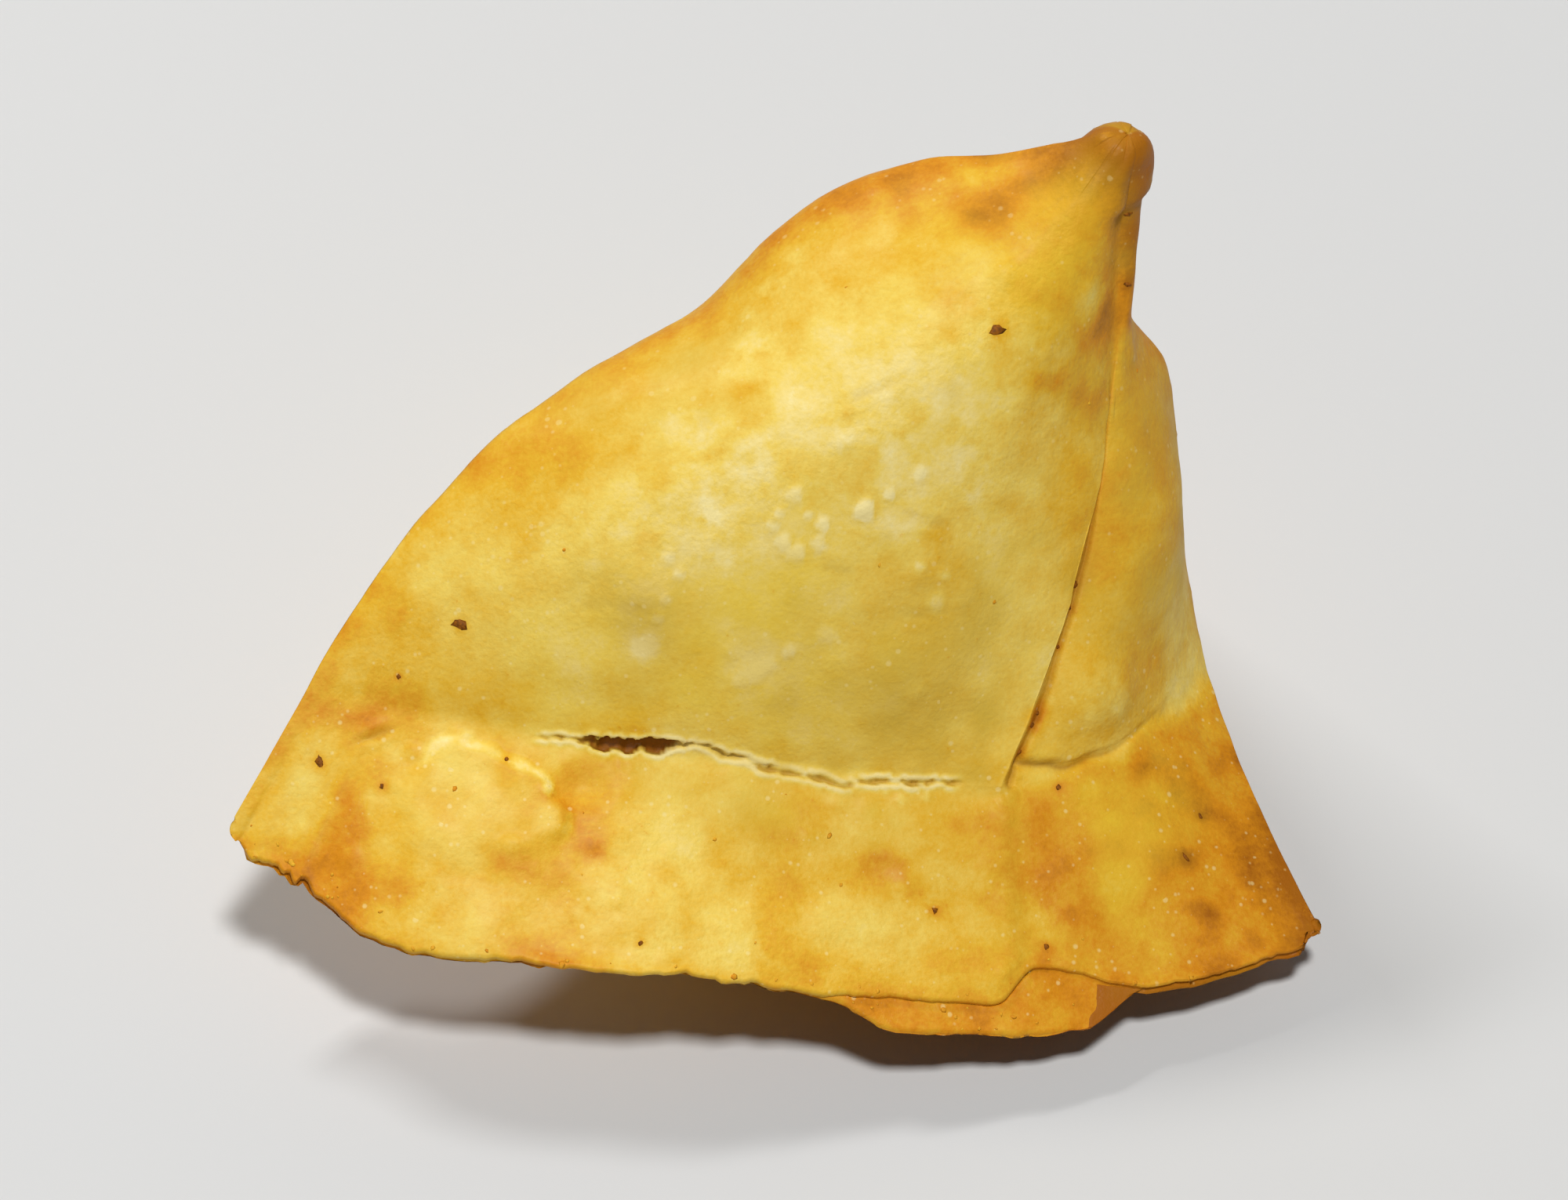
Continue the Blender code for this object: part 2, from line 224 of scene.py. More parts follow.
class DoughLook(PropertyGroup):
    """Colours of the fried dough, from the palest to the darkest."""

    # Cream also paints the flecks, which are partly painted glints.
    cream: colour("Cream", "Blistered dough that stands off the oil", "#F1DE98")
    straw: colour("Straw", "The palest fried dough", "#EACB5E")
    golden: colour("Golden", "Dough fried golden", "#E0AE2E")
    amber: colour("Amber", "Browned dough on rims and thin edges", "#D38817")
    brown: colour("Brown", "The darkest, at the tip and in the corners", "#A4600F")
    # Yellow: partly the oily dough's own yellow, partly painted light on the lower front face.
    olive_and_painted_shade: colour("Olive", "Where the filling shows through thin dough", "#CDAA3A")
    # Olive: partly the dough's own greenish tone, partly painted shade on the lower front and side faces.
    yellow_and_painted_light: colour("Yellow", "Oily dough that lets light through", "#E8C636")
    # gap paints the shade inside the crack and in the grooves, folds and wrinkles.
    gap: colour("Gap", "The dark inside of the crack", "#85500F")
    speck: colour("Speck", "Burnt carom seeds", "#5E360C")
    roughness: FloatProperty(name="Roughness", description="Roughness of the oiled crust", default=0.5, min=0, max=1)
    oil: FloatProperty(name="Oil", description="Strength of the thin film of oil", default=0.04, min=0, max=1)


class Crumbs(PropertyGroup):
    """Number and size of the loose crumbs."""

    count: IntProperty(name="Count", description="Number of crumbs that cling to the edges", default=70, min=1)
    smallest: millimetres("Smallest", "Radius of the smallest crumb", 0.07)
    largest: millimetres("Largest", "Radius of the largest crumb", 0.26)


class Studio(PropertyGroup):
    """Floor, lights and camera."""

    floor: colour("Floor", "Pale plain floor", "#DFDFDE")
    key: FloatProperty(name="Key light", description="Power of the light behind and to the left", default=8.2,
                       unit="POWER")
    soft: FloatProperty(name="Soft light", description="Power of the light overhead", default=25.5, unit="POWER")
    fill: FloatProperty(name="Fill light", description="Power of the light above the camera, on the samosa alone",
                        default=9.0, unit="POWER")
    ambient: FloatProperty(name="Ambient", description="Strength of the light from all round", default=0.05, min=0)
    lens: FloatProperty(name="Lens", description="Focal length of the camera", default=110.0, unit="CAMERA")


def through(points, place):
    """A smooth curve through the points, read at places from 0 to 1 of the length between them."""
    points = np.array(points, float)
    spans = np.linalg.norm(np.diff(points, axis=0), axis=1)
    knots = np.concatenate([[0], np.cumsum(spans)]) / spans.sum()
    width = np.diff(knots)[:, None]
    slope = np.diff(points, axis=0) / width
    inner = (slope[1:] * width[:-1] + slope[:-1] * width[1:]) / (width[1:] + width[:-1])
    tangent = np.concatenate([[2 * slope[0] - inner[0]], inner, [2 * slope[-1] - inner[-1]]])
    place = np.asarray(place, float)
    span = np.clip(np.searchsorted(knots, place, side="right") - 1, 0, len(width) - 1)
    f = ((place - knots[span]) / width[span, 0])[..., None]
    start = (2 * f**3 - 3 * f**2 + 1) * points[span] + (f**3 - 2 * f**2 + f) * width[span] * tangent[span]
    end = (3 * f**2 - 2 * f**3) * points[span + 1] + (f**3 - f**2) * width[span] * tangent[span + 1]
    return start + end


def ramp(value, low, high):
    """0 below low, 1 above high, and a smooth step between them."""
    f = np.clip((value - low) / (high - low), 0, 1)
    return f * f * (3 - 2 * f)


def hump(place, roundness):
    """An arch from 0 up to 1 and back: a parabola, or an ellipse where roundness is 1."""
    parabola = np.clip(4 * place * (1 - place), 0, 1)
    return (1 - roundness) * parabola + roundness * np.sqrt(parabola)


def arched(start, end, crown, place, roundness):
    """A straight line from start to end, pushed out so that its middle is on the crown."""
    place = place[..., None]
    push = crown - (start + end) / 2
    return start * (1 - place) + end * place + push * hump(place, roundness[..., None])


def pressed(distance):
    """Distances from a plane, with what is past the plane pressed flat onto it by a short blend."""
    blended = (distance + FLAT_BLEND) ** 2 / (4 * FLAT_BLEND)
    return np.where(distance > FLAT_BLEND, distance, np.where(distance < -FLAT_BLEND, 0, blended))


def rounded_drop(distance, radius):
    """How far a surface falls as it nears an edge: a quarter circle of this radius."""
    past = np.clip(1 - distance / radius, 0, 1)
    return radius * (1 - np.sqrt(1 - past**2))


def body(rows, columns):
    """Front and back halves of the body: lines between the ridges, arched out to the crowns."""
    rows = rows[:, None]
    columns = columns[None, :]
    left, seam, right = (through(rail, rows) for rail in (LEFT_RIDGE, SEAM_RIDGE, RIGHT_RIDGE))
    front_crown, right_crown, belly = (through(rail, rows) for rail in (FRONT_CROWN, RIGHT_CROWN, BELLY_CROWN))
    ridge_round = np.interp(rows, [0, 0.1, 0.5, 0.85, 1], [0.9, 0.7, 0.6, 0.35, 0.1])
    seam_round = np.interp(rows, [0, 0.1, 0.4, 1], [0.8, 0.5, 0.25, 0.1])
    main = np.clip(columns / SEAM_PLACE, 0, 1)
    side = np.clip((columns - SEAM_PLACE) / (1 - SEAM_PLACE), 0, 1)
    main_face = arched(left, seam, front_crown, main, ridge_round * (1 - main) + seam_round * main)
    side_face = arched(seam, right, right_crown, side, ridge_round * side + seam_round * (1 - side))
    front = np.where((columns < SEAM_PLACE)[..., None], main_face, side_face)
    back = arched(left, right, belly, columns, ridge_round + 0 * columns)
    front[..., 2] = TOP_HEIGHT - pressed(TOP_HEIGHT - front[..., 2])
    back[..., 2] = pressed(TOP_HEIGHT - pressed(TOP_HEIGHT - back[..., 2]))
    return front, back


def rounded_tip(half, rows):
    """The half with its first rows drawn onto a small ball, so that the tip ends in a round nub."""
    away = half - np.array(NUB_MIDDLE)
    ball = np.array(NUB_MIDDLE) + away / np.linalg.norm(away, axis=-1, keepdims=True) * NUB_RADIUS
    weight = (1 - ramp(rows, 0.02, 0.08))[:, None, None]
    return half * (1 - weight) + ball * weight


def blunted(half, corner, inward, radius):
    """The half with a sharp corner drawn back onto a ball whose middle lies inward of it."""
    inward = np.array(inward) / np.linalg.norm(inward)
    middle = np.array(corner) + inward * radius * 1.8
    away = half - middle
    distance = np.linalg.norm(away, axis=-1, keepdims=True)
    beyond = (away @ -inward)[..., None] > 0.5 * radius
    return np.where(beyond & (distance > radius), middle + away / np.maximum(distance, 1e-9) * radius, half)


def notch(columns):
    """How far the upper layer's edge steps back beside the seam."""
    return NOTCH_DEPTH * ramp(columns, SEAM_PLACE - 0.012, SEAM_PLACE + NOTCH_START) * (
        1 - ramp(columns, SEAM_PLACE + NOTCH_START, NOTCH_END))


def tongue(columns):
    """How much of the lower layer shows along the flap: 1 on the tongue, 0 beside it."""
    return ramp(columns, *TONGUE_START) * (1 - ramp(columns, *TONGUE_END))


def wander(columns, cycles, seed):
    """A wandering line from -1 to 1 along the columns: random heights joined by smooth steps."""
    heights = np.random.default_rng(seed).uniform(-1, 1, cycles + 2)
    cell = columns * cycles
    base = np.floor(cell).astype(int)
    f = ramp(cell - base, 0, 1)
    return heights[base] * (1 - f) + heights[base + 1] * f


def ragged_edge(columns, size, seed):
    """An edge's wandering in millimetres: broad, middling and fine, rougher near the left corner."""
    crumbly = 1 + 1.4 * (1 - ramp(columns, 0.07, 0.11))
    line = wander(columns, 19, seed) + 0.5 * wander(columns, 53, seed + 1) * crumbly
    line = line + 0.55 * wander(columns, 140, seed + 2) * crumbly
    ends = ramp(columns, 0, 0.02) * (1 - ramp(columns, 0.98, 1))
    return size * 0.6 * line * ends


def nicks(columns):
    """Bites out of the flap's edge where flakes have broken off, steep on their right."""
    total = np.zeros_like(columns)
    for middle, width, depth in NICKS:
        away = (columns - middle) / width
        total += depth * ramp(1 - np.where(away > 0, away * 2.5, -away), 0, 1)
    return total


def flap(rows, columns, shape):
    """Upper and lower faces of the flap: a bent plane from the crease to the ragged edges.

    The upper layer ends at row 2, where a rounded step leads down to the lower layer. Both faces
    round off towards the edges, and the whole plane bends up and down along its length.
    """
    crease, joint = body(np.array([1.0]), columns)
    full_edge = through(UPPER_EDGE, columns)
    ragged = ragged_edge(columns, shape.ragged / MM, 11) + nicks(columns)
    past = TONGUE_REACH + ragged_edge(columns, shape.ragged / MM, 41)
    reach = (LIP - ragged) * (1 - tongue(columns)) + past * tongue(columns)
    edge = full_edge + FLAP_OUT * (LIP - 0.05 - ragged - notch(columns))[:, None]
    rim = full_edge + FLAP_OUT * reach[:, None]
    length = RIGHT_CORNER[0] - LEFT_CORNER[0]
    inward = np.clip(length * np.minimum(columns, 1 - columns) / EDGE_ROUNDING, 0, 1)
    thickness = np.sqrt(1 - (1 - inward) ** 2)[:, None]
    rows = rows[:, None, None]
    on_upper = np.clip(rows - 1, 0, 1)
    on_lower = np.clip((rows - STEP_END) / (3 - STEP_END), 0, 1)
    hollow = SIDE_HOLLOW * columns[:, None] ** 3 * hump(on_upper, 0) * np.array([1, 0, 0])
    plane = crease + (edge - crease) * on_upper + (rim - edge) * on_lower - hollow
    bend = wander(columns, 5, 3)[:, None] * shape.wave / MM * ramp(rows, 1.15, 2.1) * inward[:, None]
    plane = plane + FLAP_UP * bend
    to_edge = np.linalg.norm(edge - crease, axis=2, keepdims=True) * (1 - on_upper)
    to_rim = np.linalg.norm(rim - edge, axis=1)[:, None] * (1 - on_lower)
    in_step = np.clip((rows - 2) / (STEP_END - 2), 0, 1)
    upper_round = rounded_drop(to_edge, EDGE_RADIUS) * np.where(rows < 2, 1, 0)
    lower_round = rounded_drop(to_rim, EDGE_RADIUS) * ramp(rows, 2.0, STEP_END)
    step = LAYER * in_step + EDGE_RADIUS * np.where(rows >= 2, 1 - in_step, 0)
    top = plane - FLAP_UP * (step + upper_round + lower_round) * thickness
    depth = FLAP_THICKNESS + (RIM_THICKNESS - FLAP_THICKNESS) * ramp(on_upper, 0.2, 1.0)
    under_round = rounded_drop(to_rim + 2 * (1 - on_upper), EDGE_RADIUS) * (on_upper >= 1)
    under = plane - FLAP_UP * (depth - under_round) * thickness
    root = joint - (crease - FLAP_UP * FLAP_THICKNESS * thickness)
    return top, under + root * (1 - ramp(rows, 1.0, 1.5))


def graded(low, high, count, closer=()):
    """Places from low to high, set closer around some: each given as (centre, width, how much closer)."""
    fine = np.linspace(low, high, 6001)
    density = 1 + sum(gain * np.exp(-((fine - centre) / width) ** 2) for centre, width, gain in closer)
    filled = np.concatenate([[0], np.cumsum((density[1:] + density[:-1]) / 2)])
    return np.interp(np.linspace(0, filled[-1], count), filled, fine)


def outward(surface):
    """Unit normals of a grid of points, by the cross product of its two directions."""
    along = np.gradient(surface, axis=0)
    across = np.gradient(surface, axis=1)
    normal = np.cross(along, across)
    return normal / np.maximum(np.linalg.norm(normal, axis=2, keepdims=True), 1e-9)


def softened(surface, weight, rounds, axis):
    """The grid with points moved, by weight, to the middle of their two neighbours along one axis."""
    surface = np.moveaxis(surface.copy(), axis, 0)
    weight = np.moveaxis(weight, axis, 0)[1:-1, :, None]
    for _ in range(rounds):
        middle = (surface[:-2] + surface[2:]) / 2
        surface[1:-1] += (middle - surface[1:-1]) * weight
    return np.moveaxis(surface, 0, axis)


def unevenness(points, size, seed):
    """Smooth noise from -1 to 1: random heights on a cubic lattice of this size, blended between."""
    table = np.random.default_rng(seed).uniform(-1, 1, (32, 32, 32))
    cell = points / size + 64
    base = np.floor(cell).astype(int)
    f = cell - base
    f = f**3 * (f * (f * 6 - 15) + 10)
    total = np.zeros(points.shape[:-1])
    for corner in product((0, 1), repeat=3):
        weight = np.prod(np.where(corner, f, 1 - f), axis=-1)
        place = (base + np.array(corner)) % 32
        total += weight * table[place[..., 0], place[..., 1], place[..., 2]]
    return total


def millimetres_along(surface, rows):
    """Distance of each grid point from the crease, measured down its own column."""
    steps = np.linalg.norm(np.diff(surface, axis=0), axis=2)
    length = np.concatenate([np.zeros((1, surface.shape[1])), np.cumsum(steps, axis=0)])
    return length - length[np.argmin(np.abs(rows - 1))]


def nearest(rows, columns, place):
    """Index of the grid point nearest to a (row, column) place."""
    return np.argmin(np.abs(rows - place[0])), np.argmin(np.abs(columns - place[1]))


class DoughGrid:
    """The samosa's two halves as grids of points, with relief and colour worked out on them.

    The back has every second column of the front.
    """

    def __init__(self, shape):
        self.shape = shape
        body_rows = graded(0, 1, 136, ((1.0, 0.022, 6), (0.0, 0.02, 3)))
        upper_rows = graded(1, 2, 82, ((1.0, 0.07, 3), (2.0, 0.05, 4)))
        step_rows = np.linspace(2, STEP_END, 6)
        lower_rows = graded(STEP_END, 3, 18, ((3.0, 0.1, 3),))
        self.rows = np.concatenate([body_rows, upper_rows[1:], step_rows[1:], lower_rows[1:]])
        seam_rows = ((0.0, 0.012, 4), (0.06, 0.04, 0.8), (0.33, 0.06, 0.6), (SEAM_PLACE + 0.005, 0.013, 7), (1.0, 0.012, 5))
        self.columns = graded(0, 1, 265, seam_rows)
        flap_rows = self.rows[self.rows > 1]
        body_rows = self.rows[self.rows <= 1]
        body_front, body_back = (rounded_tip(half, body_rows) for half in body(body_rows, self.columns))
        flap_front, flap_back = flap(flap_rows, self.columns, shape)
        self.front = np.concatenate([body_front, flap_front])
        self.back = np.concatenate([body_back, flap_back])[:, ::2]
        for corner, inward in ((LEFT_CORNER, (1, 0.15, 0.2)), (RIGHT_CORNER, (-1, 0.4, 0.3))):
            self.front, self.back = (blunted(half, corner, inward, 1.1) for half in (self.front, self.back))
        self.centre()
        self.soften_folds()
        self.along = millimetres_along(self.front, self.rows)
        self.pale = np.zeros(self.front.shape[:2])
        # Painted shade: how dark the crack, the grooves, the folds and the wrinkles are painted.
        self.painted_shade = np.zeros(self.front.shape[:2])
        self.raise_relief()

    def centre(self):
        """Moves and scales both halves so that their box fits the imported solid's box."""
        points = np.concatenate([self.front.reshape(-1, 3), self.back.reshape(-1, 3)])
        low, high = points.min(axis=0), points.max(axis=0)
        cad_low, cad_high = (np.array(corner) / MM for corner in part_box(NODE))
        scale = (cad_high[0] - cad_low[0]) / (high[0] - low[0])
        for half in (self.front, self.back):
            half[...] = (half - (low + high) / 2) * scale + (cad_low + cad_high) / 2
            half[..., 2] += (high[2] - low[2]) * scale / 2 - (cad_high[2] - cad_low[2]) / 2

    def soften_folds(self):
        """Rounds the crease, and the upper part of the ridge along the seam."""
        rows, columns = self.rows[:, None], self.columns[None, :]
        open_fold = 1 + 3 * ramp(columns, 0.79, 0.90)
        beside_crease = np.exp(-((rows - 1) / (np.where(rows < 1, 0.018, 0.08) * open_fold)) ** 2)
        self.front = softened(self.front, 0.5 * beside_crease, 60, 0)
        on_ridge = np.exp(-((columns - SEAM_PLACE) / 0.03) ** 2) * (1 - 0.85 * ramp(rows, 0.4, 0.6))
        self.front = softened(self.front, 0.5 * on_ridge * ramp(rows, 0, 0.03), 90, 1)

    def crack_relief(self):
        """The opening between the crack's two lips, deeper where it is wider, with thin raised lips. The opening is
        painted dark as shade.
        """
        places, upper, lower = np.transpose(CRACK)
        upper = np.interp(self.columns, places, upper) + 0.26 * wander(self.columns, 170, 5)
        lower = np.interp(self.columns, places, lower) + 0.24 * wander(self.columns, 150, 6)
        inside = np.minimum(self.along - upper, lower - self.along)
        run = (ramp(self.columns, 0.222, 0.24) * (1 - ramp(self.columns, 0.645, 0.665)))[None, :]
        depth = np.interp(lower - upper, [0, 0.25, 0.9, 1.7], [0.12, 0.3, 0.8, 1.2]) * self.shape.crack_depth / MM
        opening = ramp(inside, -0.16, 0.12) * run * ramp(lower - upper, -0.15, 0.16)
        beside = np.maximum(-inside, 0)
        lips = np.exp(-((beside - 0.38) / 0.26) ** 2) * run * (0.65 + 0.35 * wander(self.columns, 90, 10)[None, :])
        self.pale += 1.3 * lips
        self.painted_shade = np.maximum(self.painted_shade, opening * (0.5 + 0.5 * ramp(lower - upper, 0.4, 1.0)))
        return 0.22 * lips - depth * opening

    def fold_relief(self):
        """The fold on the right of the seam, where the side face bulges over the flap; its valley is painted dark as
        shade.
        """
        places, lines, depths = np.transpose(SIDE_FOLD)
        away = self.along - (np.interp(self.columns, places, lines) + 0.1 * wander(self.columns, 60, 16))
        depth = np.interp(self.columns, places, depths) * ramp(self.columns, 0.703, 0.710)
        valley = np.exp(-((away / 0.55) ** 2))
        self.painted_shade = np.maximum(self.painted_shade, 0.6 * np.exp(-((away / 0.26) ** 2)) * np.clip(depth / 0.6, 0, 1))
        return -valley * depth

    def seam_relief(self):
        """The dough's lip along the seam: a slow rise, a rounded edge and a thin groove at its foot.

        On the flap the lip is low and its edge is soft.
        """
        rows, columns = self.rows[:, None], self.columns[None, :]
        reach = ramp(rows, 0.30, 0.62) * (1 - ramp(rows, 1.88, 1.99))
        on_flap = ramp(rows, 0.98, 1.06)
        line = SEAM_PLACE + 0.0016 * wander(np.clip(self.rows / 3, 0, 1), 60, 14)[:, None]
        rise = np.clip(1 - (line - columns) / 0.09, 0, 1) ** 2
        drop = 1 - ramp(columns, line, line + 0.0075 + 0.018 * on_flap)
        groove = np.exp(-((columns - line - 0.0105) / 0.0035) ** 2) * reach * (1 - on_flap)
        lip = self.shape.overlap / MM * (0.75 + 0.25 * wander(np.clip(self.rows / 3, 0, 1), 24, 15)[:, None])
        fold = np.exp(-((columns - line - 0.010) / 0.008) ** 2) * reach * on_flap
        # Painted shade in the groove at the lip's foot and along the fold on the flap.
        self.painted_shade = np.maximum(self.painted_shade, np.maximum(0.5 * groove, 0.08 * fold))
        return lip * rise * drop * reach * (1 - 0.75 * on_flap) - 0.38 * groove

    def blister_relief(self, points):
        """The big blister on the flap: a slope up to an uneven outline, crisp and pale on its right."""
        x, y = points[..., 0] - BLISTER_MIDDLE[0], points[..., 1] - BLISTER_MIDDLE[1]
        angles, radii, slopes = np.transpose(BLISTER_RIM)
        angle = np.degrees(np.arctan2(y, x))
        slope = np.interp(angle, angles, slopes)
        ragged = 0.6 * unevenness(points, 2.6, 62) + 0.3 * unevenness(points, 1.0, 63)
        inside = np.interp(angle, angles, radii) + ragged - np.hypot(x, y)
        crisp = 1 - ramp(slope, 0.9, 1.8)
        rim = np.exp(-((inside - 0.6) / 0.6) ** 2) * crisp * ramp(unevenness(points, 1.6, 66), -0.6, 0.3)
        self.pale += 0.8 * rim + 0.25 * ramp(inside, 0, 3)
        return 0.5 * ramp(inside, -0.2, slope + 0.5)

    def place_of(self, row, column):
        """The front's grid point nearest to a place."""
        return self.front[nearest(self.rows, self.columns, (row, column))]

    def nub(self, columns, start, end):
        """The folded end of the dough, thick all round the tip and on its right down to a small step."""
        right = ramp(columns, start, end)[None, :] * (1 - ramp(self.rows, 0.115, 0.135))[:, None]
        return 0.7 * np.maximum(right, (1 - ramp(self.rows, 0.015, 0.075))[:, None])

    def swellings(self, points):
        """Named places that stand up or sink in, each a soft-edged ellipse."""
        total = np.zeros(points.shape[:-1])
        warp = 1 + 0.22 * unevenness(points, 3.5, 61)
        for row, column, long_radius, short_radius, height, sharpness in SWELLINGS:
            away = (points - self.place_of(row, column)) / np.array([long_radius, short_radius, short_radius])
            total += height * ramp(1 - np.linalg.norm(away, axis=-1) * warp, 0, sharpness)
        return total

    def bubbles(self, points):
        """Named bubbles: small pale domes of uneven outline."""
        total = np.zeros(points.shape[:-1])
        warp = 1 + 0.35 * unevenness(points, 0.9, 64)
        for row, column, radius, height in BUBBLES:
            away = np.linalg.norm(points - self.place_of(row, column), axis=-1) / radius * warp
            dome = np.clip(1 - away**2, 0, 1)
            total = np.maximum(total, height * dome)
            self.pale += 2.4 * height * ramp(dome, 0.1, 0.8)
        return total

    def wrinkles(self, points):
        """Short folds, each a groove along a line between two places that fades at its ends."""
        total = np.zeros(points.shape[:-1])
        for row, column, end_row, end_column, depth in WRINKLES:
            start, end = self.place_of(row, column), self.place_of(end_row, end_column)
            length = np.linalg.norm(end - start)
            run = (end - start) / length
            along = (points - start) @ run
            nearest_point = start + np.clip(along, 0, length)[..., None] * run
            away = np.linalg.norm(points - nearest_point, axis=-1) + 0.25 * unevenness(points, 2.0, 65)
            fade = ramp(along, 0, length * 0.3) * (1 - ramp(along, length * 0.7, length))
            groove = np.exp(-((away / 0.35) ** 2)) * fade
            total -= depth * (groove - 0.5 * np.exp(-(((away - 0.8) / 0.5) ** 2)) * fade)
            # Painted shade along each wrinkle's groove.
            self.painted_shade = np.maximum(self.painted_shade, 1.4 * depth * groove)
        return total

    def blisters(self, points, count, seed):
        """Small domes at random places, each a fraction of its radius high."""
        rng = np.random.default_rng(seed)
        total = np.zeros(points.shape[:-1])
        row_count, column_count = total.shape
        for _ in range(count):
            i = int(rng.integers(4, row_count - 30))
            j = int(rng.integers(6, column_count - 6))
            radius = rng.uniform(0.5, 1.35) ** 1.6
            rows = slice(max(i - 16, 0), i + 17)
            columns = slice(max(j - 16, 0), j + 17)
            away = np.linalg.norm(points[rows, columns] - points[i, j], axis=-1) / radius
            dome = np.clip(1 - away**2, 0, 1) ** 1.5
            total[rows, columns] = np.maximum(total[rows, columns], dome * radius * rng.uniform(0.05, 0.14))
        return total

    def base_relief(self, half, rows, seed):
        """The broad, middling and fine unevenness of fried dough, and its random blisters."""
        shape = self.shape
        height = shape.swell / MM * unevenness(half, 17, 1) * ramp(rows, 0.0, 0.05)[:, None]
        height = height + shape.dimple / MM * unevenness(half, 5.5, 2)
        height = height + shape.grain / MM * (unevenness(half, 2.3, 3) + 0.6 * unevenness(half, 1.1, 4))
        return height + self.blisters(half, shape.blisters // 2, seed)

    def raise_relief(self):
        """Moves both halves along their normals by the relief."""
        front_normals = outward(self.front)
        back_normals = -outward(self.back)
        flat = self.front.copy()
        height = self.base_relief(flat, self.rows, 21) + self.nub(self.columns, 0.50, 0.70)
        calm = ramp(np.abs(self.rows - 2.05), 0.03, 0.12)[:, None]
        height = height * (0.25 + 0.75 * calm) + (self.swellings(flat) + self.blister_relief(flat)) * calm
        height = height + self.bubbles(flat) + self.wrinkles(flat)
        height = height + self.seam_relief() + self.fold_relief() + self.crack_relief()
        self.front_height = height
        self.front += front_normals * height[..., None]
        grounded = ramp(self.back[..., 2], 0.02, 3.0)
        side = ramp(np.minimum(self.columns, 1 - self.columns)[::2], 0, 0.03)[None, :]
        own = self.base_relief(self.back, self.rows, 22) * grounded
        own = own * side + self.side_values(height) * (1 - side) + self.nub(self.columns[::2], 0.74, 0.92) * side
        self.back += back_normals * (own * grounded)[..., None]
        self.back[..., 2] = np.maximum(self.back[..., 2], 0)

    def side_values(self, front_values):
        """The front's values at its two sides, blended across the columns for the back."""
        columns = self.columns[None, ::2]
        return front_values[:, :1] * (1 - columns) + front_values[:, -1:] * columns

    def points(self):
        """All points of the closed mesh: the tip, then a ring for each row."""
        rings = np.concatenate([self.front[1:], self.back[1:, -2:0:-1]], axis=1)
        return np.concatenate([self.front[:1, 0], rings.reshape(-1, 3)])

    def spread(self, front_values, back_values):
        """One number for each point of the mesh, from a value grid for each half."""
        rings = np.concatenate([front_values[1:], back_values[1:, -2:0:-1]], axis=1)
        return np.concatenate([front_values[:1, 0], rings.ravel()])

    def faces(self):
        """Triangles at the tip, quads between rings, and a strip that closes the flap's edge.

        Each face of the strip spans two columns of the front and one of the back.
        """
        row_count, column_count = self.front.shape[:2]
        ring_size = column_count + self.back.shape[1] - 2
        index = 1 + np.arange((row_count - 1) * ring_size).reshape(row_count - 1, ring_size)
        following = np.roll(index, -1, axis=1)
        cap = np.stack([np.zeros_like(index[0]), index[0], following[0]], axis=-1)
        walls = np.stack([index[:-1], index[1:], following[1:], following[:-1]], axis=-1).reshape(-1, 4)
        top = index[-1, :column_count]
        under = np.concatenate([top[:1], index[-1, :column_count - 1:-1], top[-1:]])
        strip = np.stack([top[:-2:2], under[:-1], under[1:], top[2::2], top[1::2]], axis=-1).tolist()
        strip[0] = strip[0][:1] + strip[0][2:]
        strip[-1] = strip[-1][:3] + strip[-1][4:]
        return cap.tolist() + walls.tolist() + strip

    def patches(self, points, places, seed):
        """Sum of soft round patches with uneven outlines, at named places of the front."""
        warp = 1 + 0.45 * unevenness(points, 4.5, seed) + 0.25 * unevenness(points, 2.0, seed + 1)
        total = np.zeros(points.shape[:-1])
        for row, column, radius, strength in places:
            away = np.linalg.norm(points - self.place_of(row, column), axis=-1) / radius * warp
            total += strength * np.exp(-(away**2))
        return total

    def rim_browning(self, points, columns):
        """Thin rims brown first: the tip, the ridges, the flap's edge and its right corner."""
        rows, columns = self.rows[:, None], columns[None, :]
        to_tip = np.linalg.norm(points - self.front[0, 0], axis=-1)
        side = np.minimum(columns, 1 - columns) * 100
        ridge = 0.20 * np.exp(-((side / 2.6) ** 2)) * (1 - ramp(rows, 1.6, 2.1) * 0.75)
        width = np.where(columns < SEAM_PLACE, 6.0 - 3.0 * ramp(rows, 0.2, 0.7), 1.4)
        seam = 0.18 * np.exp(-(((columns - SEAM_PLACE) * 100 / width) ** 2)) * (1 - 0.6 * ramp(rows, 0.45, 0.9))
        seam = seam * (1 - ramp(rows, 0.96, 1.04))
        beyond = 0.26 * ramp(columns, SEAM_PLACE, SEAM_PLACE + 0.03) * (1 - ramp(rows, 0.20, 0.34))
        # Painted shade: the side face right of the seam, which turns from the light, is browned a little more.
        side_face = 0.16 * ramp(columns, SEAM_PLACE, SEAM_PLACE + 0.01) * (1 - ramp(rows, 0.9, 1.0))
        edge = 0.14 * ramp(rows, 1.88, 2.0)
        lower = 0.14 * ramp(rows, 2.02, 2.12)
        right = 0.12 * ramp(columns, 0.70, 0.74) * ramp(rows, 1.0, 1.1)
        tip = 0.26 * np.exp(-(to_tip / 5.0) ** 2) + 0.16 * np.exp(-(to_tip / 14.0) ** 2)
        return tip + ridge + seam + beyond + side_face + edge + lower + right

